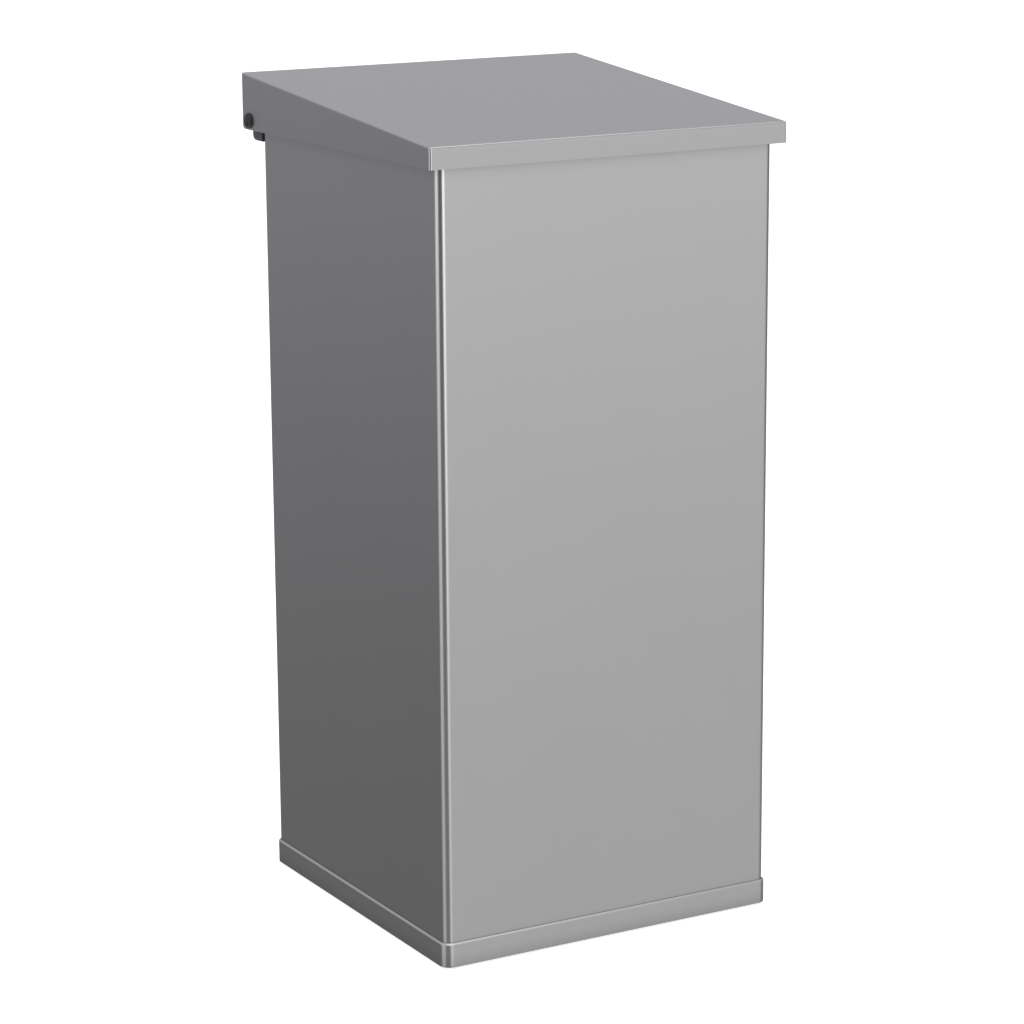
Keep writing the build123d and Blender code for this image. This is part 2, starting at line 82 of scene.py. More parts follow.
class BinSizes(bpy.types.PropertyGroup):
    """Sizes that a user would change. The outer sizes come from the frame."""
    corner_radius: length("Body corner", "Radius of the body's upright corners", 7.0 * MM)
    shell_sheet: length("Body sheet", "Thickness of the body's sheet", 1.2 * MM)
    shell_bend: length("Body bend", "Outer radius of the bend at the foot of the body", 2.0 * MM)
    bottom_flange: length("Bottom flange", "Width of the body's inward flange", 16.0 * MM)
    rear_return: length("Rear return", "Width of the wrap's return at the back", 50.0 * MM)
    tray_wall: length("Tray wall", "Thickness of the tray's rim", 1.8 * MM)
    tray_floor: length("Tray floor", "Thickness of the tray's floor", 1.8 * MM)
    plinth_bevel: length("Plinth bevel", "Bevel along the plinth's top edge", 1.4 * MM)
    plinth_round: length("Plinth round", "Rounding along the plinth's foot", 0.6 * MM)
    cover_sheet: length("Lid sheet", "Thickness of the lid's sheet", 1.2 * MM)
    cover_corner: length("Lid corner", "Radius of the lid's upright corners", 2.0 * MM)
    cover_fold: length("Lid fold", "Radius of the fold round the lid's top", 1.5 * MM)
    lip_height: length("Lid lip", "Height of the lid's front lip", 17.0 * MM)
    skirt_round: length("Skirt corner", "Radius of the skirt's lower rear corner", 6.0 * MM)
    notch_gap: length("Notch gap", "Gap between the lid's flange and a block", 2.0 * MM)
    notch_rise: length("Notch rise", "Height of the notch over a block", 3.0 * MM)
    notch_lip: length("Notch lip", "Sheet left between a notch and the skirt", 2.3 * MM)
    flange_drop: length("Flange drop", "Reach of the rear flange below the axis", 0.4 * MM)
    edge_round: length("Edge round", "Rounding of every cut sheet edge", 0.25 * MM)
    rivet_rows: IntProperty(name="Rivet rows", description="Rivets in each rear seam",
                            default=6, min=2, max=20)


class BinColours(bpy.types.PropertyGroup):
    """Finishes of the bin's pieces."""
    body: colour("Body", "Paint on the body", (0.52, 0.52, 0.52))
    cover: colour("Lid", "Paint on the lid", (0.485, 0.485, 0.487))
    plinth: colour("Plinth", "Paint on the plinth", (0.53, 0.53, 0.53))
    nylon: colour("Nylon", "Moulded caps and bushes", (0.024, 0.024, 0.025))
    # The block tint is partly the blocks' own grey and partly painted light that lifts the shade the
    # lid casts on them.
    block: colour("Block", "Moulded hinge blocks", (0.105, 0.105, 0.108))
    rubber: colour("Rubber", "Feet and buffers", (0.016, 0.016, 0.016))
    steel: colour("Steel", "Rod, bag ring, plates and screws", (0.56, 0.56, 0.57))
    rivet: colour("Rivet", "Blind rivets", (0.66, 0.66, 0.67))
    brass: colour("Brass", "Threaded inserts", (0.70, 0.52, 0.24))


class BinStage(bpy.types.PropertyGroup):
    """Camera, lights and floor."""
    camera_place: FloatVectorProperty(
        name="Camera", description="Where the camera stands", size=3, subtype="TRANSLATION",
        unit="LENGTH", default=(-1.30349, -2.28674, 0.93907))
    camera_turn: FloatVectorProperty(
        name="Camera angles", description="How the camera is turned", size=3, subtype="EULER",
        unit="ROTATION", default=(radians(76.754), radians(0.357), radians(-29.788)))
    lens: FloatProperty(name="Lens", description="Focal length on a 36 mm sensor",
                        default=115.365, unit="CAMERA", min=10.0)
    top_power: FloatProperty(name="Top light", description="Power of the overhead light",
                             default=12.0, unit="POWER", min=0.0)
    surround: FloatProperty(name="Surround", description="Brightness of the surroundings",
                            default=1.0, min=0.0)
    floor: colour("Floor", "Colour of the floor", (0.80, 0.80, 0.80))
    floor_glow: FloatProperty(name="Floor glow", description="Light that lifts the floor to white",
                              default=0.75, min=0.0)


# Surfaces

def offset_outline(low, high, radius, offset, rear_marks, side_marks, arc_steps=12):
    """Points round a rounded rectangle, moved outwards by offset.

    The walk starts in the middle of the rear side and runs over the left, front and right sides
    back to it. A corner's points lie on centre + r * (cos a, sin a), with r = radius + offset,
    or nearly nothing where the offset leaves no radius. rear_marks are distances from the
    middle of the rear side and side_marks are fractions of the side's straight run, front to
    rear; both are points where the surface needs an edge.
    """
    r = max(radius + offset, 1e-6)
    x = max(high[0] + offset - r, 0.0)
    front = min(low[1] - offset + r, (low[1] + high[1]) / 2)
    rear = max(high[1] + offset - r, (low[1] + high[1]) / 2)
    middles = ((-x, rear, 90), (-x, front, 180), (x, front, 270), (x, rear, 0))
    arcs = []
    for middle_x, middle_y, start in middles:
        a = np.radians(np.linspace(start, start + 90, arc_steps))
        arcs.append(np.c_[middle_x + r * np.cos(a), middle_y + r * np.sin(a)])
    marks = np.minimum(np.asarray(rear_marks), x)
    rear_left = np.c_[-marks, np.full(len(marks), rear + r)]
    side_y = front + np.asarray(side_marks) * (rear - front)
    left = np.c_[np.full(len(side_y), -x - r), side_y[::-1]]
    right = np.c_[np.full(len(side_y), x + r), side_y]
    front_x = np.linspace(-x, x, 10)[1:-1]
    ahead = np.c_[front_x, np.full(len(front_x), front - r)]
    rear_right = (rear_left * (-1, 1))[::-1]
    return np.vstack([rear_left, arcs[0], left, arcs[1], ahead, arcs[2], right, arcs[3],
                      rear_right])


def grid_quads(rows, columns, keep=None):
    """Corner numbers of the cells of a rows by columns grid of points, all or those to keep."""
    index = np.arange(rows * columns).reshape(rows, columns)
    cells = np.stack([index[:-1, :-1], index[:-1, 1:], index[1:, 1:], index[1:, :-1]], axis=-1)
    return cells.reshape(-1, 4) if keep is None else cells[keep]


def sweep(low, high, radius, section, rear_marks, side_marks):
    """Rings of points round a rounded rectangle, one for each (outward offset, height)."""
    rings = []
    for offset, height in section:
        ring = offset_outline(low, high, radius, offset, rear_marks, side_marks)
        rings.append(np.c_[ring, np.full(len(ring), height)])
    return np.stack(rings)


def place_mesh(name, points, quads, material, body, node, closed=False):
    """Put points and quads into a mesh, merge its seams and hand it to the frame.

    node is the CAD node that the piece stands in for. A closed piece gets its faces turned
    outwards here; a sheet's outer face already looks outwards.
    """
    mesh = bpy.data.meshes.new(name)
    mesh.from_pydata(points.reshape(-1, 3).tolist(), [], quads.tolist())
    work = bmesh.new()
    work.from_mesh(mesh)
    bmesh.ops.remove_doubles(work, verts=work.verts, dist=MERGE_DISTANCE)
    bmesh.ops.dissolve_degenerate(work, dist=SLIVER_LENGTH, edges=work.edges)
    loose = [corner for corner in work.verts if not corner.link_faces]
    bmesh.ops.delete(work, geom=loose, context="VERTS")
    if closed:
        bmesh.ops.recalc_face_normals(work, faces=work.faces)
    work.to_mesh(mesh)
    work.free()
    mesh.materials.append(material)
    mesh.shade_smooth()
    piece = bpy.data.objects.new(name, mesh)
    bpy.context.scene.collection.objects.link(piece)
    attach(piece, body)
    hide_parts(node)
    return piece


def fold_sheet(piece, thickness, edge_round):
    """Give a sheet's outer face its thickness inwards, and round its cut edges."""
    wall = piece.modifiers.new("Sheet", "SOLIDIFY")
    wall.thickness = thickness
    wall.offset = -1.0
    wall.use_even_offset = True
    wall.use_quality_normals = True
    soften_edges(piece, edge_round)
    flatten_shading(piece)


def flatten_shading(piece):
    """Let the widest face at each corner set its shading, so that flats look flat."""
    shading = piece.modifiers.new("Shading", "WEIGHTED_NORMAL")
    shading.weight = 100
    shading.keep_sharp = True


def soften_edges(piece, width):
    """Round every edge that turns by more than the cut angle."""
    bevel = piece.modifiers.new("Edges", "BEVEL")
    bevel.width = width
    bevel.segments = 2
    bevel.limit_method = "ANGLE"
    bevel.angle_limit = CUT_ANGLE
    bevel.harden_normals = True


def turned(origin, outward, outline, steps=40):
    """Rings of a shape turned about an axis: point = origin + along * axis + radius * (cos, sin)."""
    axis = Vector(outward).normalized()
    first = axis.orthogonal().normalized()
    second = axis.cross(first)
    turn_angle = np.linspace(0, 2 * np.pi, steps + 1)
    around = (np.cos(turn_angle)[:, None] * np.array(first)
              + np.sin(turn_angle)[:, None] * np.array(second))
    along, radius = np.array(outline).T
    return (np.array(origin) + along[:, None, None] * np.array(axis)
            + radius[:, None, None] * around)


def quarter_round(start, end, bulge, steps=6):
    """Points on the arc of a quarter ellipse from start to end; bulge is the corner it rounds."""
    t = np.linspace(0, np.pi / 2, steps)[:, None]
    start, end, bulge = map(np.asarray, (start, end, bulge))
    middle = start + end - bulge
    return middle + (start - middle) * np.cos(t) + (end - middle) * np.sin(t)


# Node groups and materials

def new_group(name, inputs, outputs):
    """An empty shader group with named sockets, and its input and output nodes."""
    group = bpy.data.node_groups.new(name, "ShaderNodeTree")
    for label, kind, default in inputs:
        socket = group.interface.new_socket(label, in_out="INPUT", socket_type=kind)
        socket.default_value = default
    for label, kind in outputs:
        group.interface.new_socket(label, in_out="OUTPUT", socket_type=kind)
    return group, group.nodes.new("NodeGroupInput"), group.nodes.new("NodeGroupOutput")


def add_node(tree, kind, values=(), links=()):
    """Add a node, set its values and link its inputs; values and links name input sockets."""
    node = tree.nodes.new(kind)
    for label, value in dict(values).items():
        if hasattr(node, label) and label not in node.inputs:
            setattr(node, label, value)
        else:
            node.inputs[label].default_value = value
    for label, source in dict(links).items():
        tree.links.new(source, node.inputs[label])
    return node


def calculate(tree, operation, first, second=0.0):
    """The result of a Math node; first and second are numbers or source sockets."""
    node = add_node(tree, "ShaderNodeMath", {"operation": operation})
    for socket, source in zip(node.inputs, (first, second)):
        if isinstance(source, float):
            socket.default_value = source
        else:
            tree.links.new(source, socket)
    return node.outputs[0]


def fade(tree, source, start, end):
    """A share that goes from 0 to 1 while the source goes from start to end."""
    return add_node(tree, "ShaderNodeMapRange", {"From Min": start, "From Max": end},
                    {"Value": source}).outputs["Result"]


def tone_group():
    """Slow change of tone and gloss over a painted or moulded surface, as from handling."""
    group, given, made = new_group(
        "Tone", [("Color", "NodeSocketColor", (0.5, 0.5, 0.5, 1)),
                 ("Roughness", "NodeSocketFloat", 0.4), ("Size", "NodeSocketFloat", 6.0),
                 ("Amount", "NodeSocketFloat", 0.05)],
        [("Color", "NodeSocketColor"), ("Roughness", "NodeSocketFloat")])
    place = add_node(group, "ShaderNodeTexCoord")
    cloud = add_node(group, "ShaderNodeTexNoise", {"Detail": 5.0, "Roughness": 0.6},
                     {"Vector": place.outputs["Object"], "Scale": given.outputs["Size"]})
    centred = calculate(group, "SUBTRACT", cloud.outputs["Fac"], 0.5)
    change = calculate(group, "MULTIPLY", centred, given.outputs["Amount"])
    value = calculate(group, "ADD", change, 1.0)
    tinted = add_node(group, "ShaderNodeHueSaturation", {},
                      {"Color": given.outputs["Color"], "Value": value})
    rough = calculate(group, "ADD", given.outputs["Roughness"], change)
    group.links.new(tinted.outputs["Color"], made.inputs["Color"])
    group.links.new(rough, made.inputs["Roughness"])
    return group


def grain_group():
    """Fine relief: noise stretched along an axis by Stretch, as paint texture or brushing."""
    group, given, made = new_group(
        "Grain", [("Size", "NodeSocketFloat", 1500.0),
                  ("Stretch", "NodeSocketVector", (1.0, 1.0, 1.0))],
        [("Height", "NodeSocketFloat")])
    place = add_node(group, "ShaderNodeTexCoord")
    stretched = add_node(group, "ShaderNodeVectorMath", {"operation": "MULTIPLY"})
    group.links.new(place.outputs["Object"], stretched.inputs[0])
    group.links.new(given.outputs["Stretch"], stretched.inputs[1])
    grit = add_node(group, "ShaderNodeTexNoise", {"Detail": 3.0, "Roughness": 0.55},
                    {"Vector": stretched.outputs[0], "Scale": given.outputs["Size"]})
    group.links.new(grit.outputs["Fac"], made.inputs["Height"])
    return group


def crevice_group():
    """Painted shade: darker base colour where another surface lies within Reach, as in the gap under
    the lid.
    """
    group, given, made = new_group(
        "PaintedShade", [("Color", "NodeSocketColor", (0.5, 0.5, 0.5, 1)),
                    ("Reach", "NodeSocketFloat", 14.0 * MM),
                    ("Amount", "NodeSocketFloat", 0.5)],
        [("Color", "NodeSocketColor")])
    space = add_node(group, "ShaderNodeAmbientOcclusion", {"samples": 8},
                     {"Distance": given.outputs["Reach"]})
    shut = calculate(group, "SUBTRACT", 1.0, space.outputs["AO"])
    loss = calculate(group, "MULTIPLY", shut, given.outputs["Amount"])
    value = calculate(group, "SUBTRACT", 1.0, loss)
    shaded = add_node(group, "ShaderNodeHueSaturation", {},
                      {"Color": given.outputs["Color"], "Value": value})
    group.links.new(shaded.outputs["Color"], made.inputs["Color"])
    return group


def finish(name, tint, roughness, size, amount, grain, stretch=(1, 1, 1), relief=0.1,
           **surface):
    """A Principled finish from the Tone, painted shade and Grain groups.

    tint and roughness vary slowly by amount over patches set by size. grain is the scale of the
    fine relief, stretch draws it out along an axis and relief is its strength.
    """
    material = bpy.data.materials.new(name)
    material.use_nodes = True
    tree = material.node_tree
    shader = tree.nodes["Principled BSDF"]
    tone = add_node(tree, "ShaderNodeGroup")
    tone.node_tree = bpy.data.node_groups.get("Tone") or tone_group()
    tone.inputs["Color"].default_value = (*tint, 1.0)
    tone.inputs["Roughness"].default_value = roughness
    tone.inputs["Size"].default_value = size
    tone.inputs["Amount"].default_value = amount
    texture = add_node(tree, "ShaderNodeGroup")
    texture.node_tree = bpy.data.node_groups.get("Grain") or grain_group()
    texture.inputs["Size"].default_value = grain
    texture.inputs["Stretch"].default_value = stretch
    bump = add_node(tree, "ShaderNodeBump", {"Strength": relief, "Distance": 0.05 * MM},
                    {"Height": texture.outputs["Height"]})
    # Painted shade: the base colour darkens where another surface lies near, in gaps and under the
    # lid.
    painted_shade = add_node(tree, "ShaderNodeGroup")
    painted_shade.node_tree = bpy.data.node_groups.get("PaintedShade") or crevice_group()
    tree.links.new(tone.outputs["Color"], painted_shade.inputs["Color"])
    tree.links.new(painted_shade.outputs["Color"], shader.inputs["Base Color"])
    tree.links.new(tone.outputs["Roughness"], shader.inputs["Roughness"])
    tree.links.new(bump.outputs["Normal"], shader.inputs["Normal"])
    for label, value in surface.items():
        shader.inputs[label.replace("_", " ")].default_value = value
    return material


def body_paint():
    """Satin metallic grey on the body."""
    tint = bpy.context.scene.bin_colours.body
    return finish("body_paint", tint, roughness=0.24, size=7.0, amount=0.025,
                  grain=900.0, relief=0.05,
                  Metallic=0.92, Coat_Weight=0.2, Coat_Roughness=0.08)


def lid_paint():
    """Satin metallic grey on the lid."""
    tint = bpy.context.scene.bin_colours.cover
    return finish("lid_paint", tint, roughness=0.27, size=7.0, amount=0.02,
                  grain=900.0, relief=0.05,
                  Metallic=0.92, Coat_Weight=0.15, Coat_Roughness=0.15)


def plinth_paint():
    """Satin metallic grey on the plinth."""
    tint = bpy.context.scene.bin_colours.plinth
    return finish("plinth_paint", tint, roughness=0.24, size=9.0, amount=0.04,
                  grain=900.0, relief=0.05,
                  Metallic=0.92, Coat_Weight=0.2, Coat_Roughness=0.08)


def moulded_nylon():
    """Black moulded nylon with a fine spark-eroded grain."""
    tint = bpy.context.scene.bin_colours.nylon
    return finish("moulded_nylon", tint, roughness=0.45, size=60.0, amount=0.1,
                  grain=2600.0, relief=0.35)


def block_nylon_painted_light():
    """Hinge-block nylon: its own dark grey, lifted lighter as painted light against the lid's shade.
    """
    tint = bpy.context.scene.bin_colours.block
    return finish("block_nylon_painted_light", tint, roughness=0.5, size=60.0, amount=0.1,
                  grain=2600.0, relief=0.35)


def black_rubber():
    """Black rubber of the feet and buffers."""
    tint = bpy.context.scene.bin_colours.rubber
    return finish("black_rubber", tint, roughness=0.7, size=80.0, amount=0.12,
                  grain=1800.0, relief=0.3)


def bright_steel():
    """Drawn or rolled steel, brushed along X."""
    tint = bpy.context.scene.bin_colours.steel
    return finish("bright_steel", tint, roughness=0.3, size=12.0, amount=0.08,
                  grain=700.0, stretch=(0.03, 1, 1), relief=0.25, Metallic=1.0)


def zinc_plate():
    """Zinc-plated plates and screws, with a cloudy tone."""
    tint = bpy.context.scene.bin_colours.steel
    return finish("zinc_plate", tint, roughness=0.38, size=90.0, amount=0.2,
                  grain=1600.0, relief=0.2, Metallic=1.0)


def rivet_metal():
    """Plain aluminium of the blind rivets."""
    tint = bpy.context.scene.bin_colours.rivet
    return finish("rivet_metal", tint, roughness=0.32, size=120.0, amount=0.12,
                  grain=1500.0, relief=0.2, Metallic=1.0)


def turned_brass():
    """Brass of the threaded inserts."""
    tint = bpy.context.scene.bin_colours.brass
    return finish("turned_brass", tint, roughness=0.3, size=120.0, amount=0.1,
                  grain=1200.0, relief=0.2, Metallic=1.0)


def material_for(maker):
    """The material that a maker function gives, made once."""
    return bpy.data.materials.get(maker.__name__) or maker()


# Pieces

class BIN_OT_body_shell(bpy.types.Operator):
    """Make the body: one sheet wrapped round the front and sides, with rear returns"""
    bl_idname = "waste_bin.body_shell"
    bl_label = "Body Shell"

    def execute(self, context):
        """Sweep the sheet's outer face, flange first and then upright, round the body.

        The rear keeps only its two returns, and the flange stops short of the rear.
        """
        sizes = context.scene.bin_sizes
        low, high = SHELL_LOW, SHELL_HIGH
        middle = (low[1] + high[1]) / 2
        bottom, top = low[2], high[2]
        bend = sizes.shell_bend
        upright_rings, rear_share = 24, 0.9
        profile = np.vstack([
            [(-sizes.bottom_flange, bottom)],
            quarter_round((-bend, bottom), (0, bottom + bend), (0, bottom)),
            np.c_[np.zeros(upright_rings),
                  np.linspace(bottom + bend, top, upright_rings + 1)[1:]]])
        window = high[0] - sizes.rear_return
        marks = np.array((0.0, window, window + sizes.rear_return / 3))
        side = np.linspace(0, 1, 12)[1:-1]
        points = sweep(low, high, sizes.corner_radius, profile, marks, side)
        rows, columns = points.shape[:2]
        keep = np.ones((rows - 1, columns - 1), bool)
        keep[:, 0] = keep[:, -1] = False
        near_rear = points[-1, :-1, 1] > middle + (high[1] - middle) * rear_share
        keep[0, near_rear] = False
        piece = place_mesh("body_shell", points, grid_quads(rows, columns, keep),
                           material_for(body_paint), BIN, "body_wrap")
        fold_sheet(piece, sizes.shell_sheet, sizes.edge_round)
        return {"FINISHED"}


class BIN_OT_plinth(bpy.types.Operator):
    """Make the base tray: its floor and the rim that stands proud of the body as the plinth"""
    bl_idname = "waste_bin.plinth"
    bl_label = "Plinth"

    def execute(self, context):
        """Sweep a closed section of (outward offset, height) points round the tray.

        The section runs from the floor's middle over the rim and its bevel and back below.
        """
        sizes = context.scene.bin_sizes
        low, high = TRAY_LOW, TRAY_HIGH
        bottom, top = low[2], high[2]
        wall, bevel, foot = sizes.tray_wall, sizes.plinth_bevel, sizes.plinth_round
        floor_top = bottom + sizes.tray_floor
        reach = high[0]
        edge = 0.3 * MM
        section = np.vstack([
            [(-reach, floor_top), (-wall - edge, floor_top), (-wall, floor_top + edge),
             (-wall, top - edge)],
            quarter_round((-wall, top - edge), (-wall + edge / 2, top), (-wall, top), 3)[1:],
            quarter_round((-bevel - edge / 2, top), (-bevel + edge / 2, top - edge),
                          (-bevel, top), 4),
            quarter_round((-edge, top - bevel + edge), (0, top - bevel - edge),
                          (0, top - bevel), 4),
            [(0, bottom + foot)],
            quarter_round((0, bottom + foot), (-foot, bottom), (0, bottom), 6)[1:],
            [(-reach, bottom)]])
        radius = sizes.corner_radius + (high[0] - SHELL_HIGH[0])
        side = np.linspace(0, 1, 6)[1:-1]
        marks = (0.0, high[0] / 3, high[0] / 1.5)
        points = sweep(low, high, radius, section, marks, side)
        piece = place_mesh("plinth_tray", points, grid_quads(*points.shape[:2]),
                           material_for(plinth_paint), BIN, "base_tray",
                           closed=True)
        flatten_shading(piece)
        return {"FINISHED"}


class BIN_OT_cover(bpy.types.Operator):
    """Make the lid: a sloping top with a front lip, side skirts and a notched rear flange"""
    bl_idname = "waste_bin.cover"
    bl_label = "Lid"

    def execute(self, context):
        """Height over the outline is base(y) + share * (fold(y) - base(y)); then the fold and top.

        base is the skirts' lower edge, which curls up at the rear by a circle's height, and
        fold is the sloping top less the fold's radius.
        """
        sizes = context.scene.bin_sizes
        low, high = COVER_LOW, COVER_HIGH
        skirt = low[2]
        slope = (high[2] - skirt - sizes.lip_height) / (high[1] - low[1])
        axis_height = (ROD_LOW[2] + ROD_HIGH[2]) / 2
        curl, fold = sizes.skirt_round, sizes.cover_fold
        notch_inner = BLOCK_LOW[0] - sizes.notch_gap
        notch_outer = high[0] - sizes.cover_sheet - sizes.notch_lip
        flange_foot = axis_height - sizes.flange_drop
        notch_top = BLOCK_HIGH[2] + sizes.notch_rise

        def top_height(y):
            """The sloping top's height at y."""
            return skirt + sizes.lip_height + slope * (y - low[1])

        def base_height(y):
            """The skirts' lower edge at y."""
            into = np.clip(y - (high[1] - curl), 0, curl)
            return skirt + curl - np.sqrt(curl ** 2 - into ** 2)

        rear_base = skirt + curl
        rear_fold = top_height(high[1]) - fold
        shares = np.unique(np.r_[0, (flange_foot - rear_base) / (rear_fold - rear_base),
                                 (notch_top - rear_base) / (rear_fold - rear_base), 0.75, 1])
        beside_notch = 2.0 * MM
        marks = np.array((0.0, notch_inner / 2, notch_inner, notch_inner + beside_notch,
                          notch_outer - beside_notch, notch_outer))
        run = high[1] - low[1] - 2 * sizes.cover_corner
        curl_share = 1 - (curl - sizes.cover_corner) / run * np.linspace(1, 0, 8)
        side = np.r_[np.linspace(0, curl_share[0], 12)[1:-1], curl_share[:-1]]
        ring = offset_outline(low, high, sizes.cover_corner, 0.0, marks, side)
        base, lift = base_height(ring[:, 1]), top_height(ring[:, 1]) - fold
        rings = [np.c_[ring, base + share * (lift - base)] for share in shares]
        for turn_angle in np.linspace(0, np.pi / 2, 7)[1:]:
            inward = -fold * (1 - np.cos(turn_angle))
            ring = offset_outline(low, high, sizes.cover_corner, inward, marks, side)
            height = top_height(ring[:, 1]) - fold * (1 - np.sin(turn_angle))
            rings.append(np.c_[ring, height])
        for inward in np.linspace(-fold, low[0], 8)[1:]:
            ring = offset_outline(low, high, sizes.cover_corner, inward, marks, side)
            rings.append(np.c_[ring, top_height(ring[:, 1])])
        points = np.stack(rings)
        rows, columns = points.shape[:2]
        keep = np.ones((rows - 1, columns - 1), bool)
        centre = (points[0, :-1] + points[0, 1:]) / 2
        on_rear = centre[:, 1] > high[1] - 1e-6
        across = np.abs(centre[:, 0])
        keep[0, on_rear & (across < notch_outer)] = False
        keep[1, on_rear & (across < notch_outer) & (across > notch_inner)] = False
        piece = place_mesh("lid_cover", points, grid_quads(rows, columns, keep),
                           material_for(lid_paint), LID, "lid_panel")
        fold_sheet(piece, sizes.cover_sheet, sizes.edge_round)
        return {"FINISHED"}


class BIN_OT_rod_caps(bpy.types.Operator):
    """Make the domed caps on the ends of the hinge rod"""
    bl_idname = "waste_bin.rod_caps"
    bl_label = "Rod Caps"

    def execute(self, context):
        """Turn a section about the rod: a straight edge, a rounded shoulder and a low crown."""
        centre_y = (ROD_LOW[1] + ROD_HIGH[1]) / 2
        centre_z = (ROD_LOW[2] + ROD_HIGH[2]) / 2
        radius = (CAP_HIGH[2] - CAP_LOW[2]) / 2
        height = CAP_HIGH[0] - CAP_LOW[0]
        fit, end_gap, shoulder = 0.1 * MM, 0.3 * MM, 0.22 * height
        chamfer_in, chamfer_up = 0.2 * MM, 0.1 * MM
        bore = (ROD_HIGH[2] - ROD_LOW[2]) / 2 + fit
        floor = ROD_HIGH[0] - CAP_LOW[0] + end_gap
        crown = quarter_round((shoulder, radius), (height, 0), (height, radius), 14)
        section = np.vstack([[(floor, 0), (floor, bore), (0, bore), (0, radius - chamfer_in),
                              (chamfer_up, radius)], crown])
        for side, name in ((-1, "left"), (1, "right")):
            rings = turned((side * CAP_LOW[0], centre_y, centre_z), (side, 0, 0), section)
            piece = place_mesh(f"cap_dome_{name}", rings, grid_quads(*rings.shape[:2]),
                               material_for(moulded_nylon), LID,
                               f"rod_cap_{name}", closed=True)
            piece.data.set_sharp_from_angle(angle=SHARP_ANGLE)
        return {"FINISHED"}


class BIN_OT_seam_rivets(bpy.types.Operator):
    """Make the blind rivets of the two rear seams"""
    bl_idname = "waste_bin.seam_rivets"
    bl_label = "Seam Rivets"

    def execute(self, context):
        """Turn one section, a low dome with the mandrel's dimple, at every rivet's place."""
        sizes = context.scene.bin_sizes
        rear = SHELL_HIGH[1]
        head = SEAM_HIGH[1] - rear
        spread = 3.6 * MM
        shank, tail, grip = 1.6 * MM, 2.3 * MM, 2 * sizes.shell_sheet
        tail_end = rear - SEAM_LOW[1]
        dimple = 0.9 * MM
        section = np.vstack([
            [(head * 0.45, 0), (head * 0.5, dimple * 0.8)],
            quarter_round((head * 0.75, dimple), (head, dimple * 1.5), (head, dimple), 4),
            quarter_round((head, dimple * 1.6), (0.2 * head, spread), (head, spread), 8),
            [(0, spread), (0, shank), (-grip, shank), (-grip, tail), (-tail_end, tail),
             (-tail_end, 0)]])
        first, last = SEAM_LOW[2] + spread, SEAM_HIGH[2] - spread
        across = SEAM_HIGH[0] - spread
        points, quads = [], []
        for side in (-1, 1):
            for height in np.linspace(first, last, sizes.rivet_rows):
                rings = turned((side * across, rear, height), (0, 1, 0), section, 28)
                quads.append(grid_quads(*rings.shape[:2]) + len(points) * rings[..., 0].size)
                points.append(rings.reshape(-1, 3))
        piece = place_mesh("rivet_heads", np.vstack(points), np.vstack(quads),
                           material_for(rivet_metal), BIN, "seam_rivets",
                           closed=True)
        piece.data.set_sharp_from_angle(angle=SHARP_ANGLE)
        return {"FINISHED"}


class BIN_OT_fittings(bpy.types.Operator):
    """Give every carried-over piece its finish"""
    bl_idname = "waste_bin.fittings"
    bl_label = "Fittings"

    finishes = {
        body_paint: ("rear_panel", "top_frame"),
        block_nylon_painted_light: ("hinge_block_left", "hinge_block_right"),
        moulded_nylon: ("lid_bush_left", "lid_bush_right"),
        black_rubber: ("foot_front_left", "foot_front_right", "foot_rear_left",
                       "foot_rear_right", "lid_buffer_left", "lid_buffer_right"),
        bright_steel: ("hinge_rod", "bag_ring"),
        zinc_plate: ("hinge_plate_left", "hinge_plate_right", "hinge_screws"),
        rivet_metal: ("frame_rivets", "base_rivets"),
        turned_brass: ("hinge_inserts",),
    }

    def execute(self, context):
        """Put one material in each node's slots."""
        for maker, names in self.finishes.items():
            for name in names:
                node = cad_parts[name]
                node.data.materials.clear()
                node.data.materials.append(material_for(maker))
        return {"FINISHED"}


# Stage

def area_light(name, place, target, size, power):
    """A rectangular soft light that looks at a target."""
    data = bpy.data.lights.new(name, "AREA")
    data.shape = "RECTANGLE"
    data.size, data.size_y = size
    data.energy = power
    lamp = bpy.data.objects.new(name, data)
    lamp.location = place
    lamp.rotation_euler = (Vector(target) - Vector(place)).to_track_quat("-Z", "Y").to_euler()
    bpy.context.scene.collection.objects.link(lamp)


FLOOR_REACH = 60.0
LIGHT_PLACE, LIGHT_TARGET, LIGHT_SIZE = (0.2, -0.3, 2.6), (0, 0, 0.4), (2.2, 2.2)
WHITE = (1.0, 1.0, 1.0, 1.0)

# Light of the studio round the bin, as (degrees from +X towards +Y, level at the horizon, level
# at the floor). A softbox stands at the left and a brighter one in front, the room is dark beside
# them, and a level is a number or a colour.
COOL_LEFT = (0.455, 0.45, 0.50)
STUDIO = (
    (0, 0.22, 0.28), (34, 0.24, 0.28), (44, 0.53, 0.52), (65, 0.53, 0.50),
    (74, COOL_LEFT, 0.18), (152, COOL_LEFT, 0.17), (168, 1.95, 0.62), (198, 1.95, 0.62),
    (207, 0.0, 0.27), (252, 0.0, 0.27), (258, 3.3, 0.80), (277, 3.3, 0.80),
    (288, 1.12, 0.665), (328, 1.05, 0.62), (346, 0.22, 0.30), (360, 0.22, 0.28),
)
# The ceiling as (sine of the height, level). The sines below say where the floor, the ceiling and
# the bright floor close to the bin fade in.
SKY = ((0.0, (0.43, 0.43, 0.46)), (0.37, (0.51, 0.507, 0.555)), (0.7, 0.74), (1.0, 0.76))
FLOOR_SINE, HORIZON_SINE, HORIZON_CURVE = -0.37, 0.0, 1.8
SKY_START, SKY_FULL = 0.10, 0.34
NEAR_START, NEAR_FULL = -0.5, -0.8


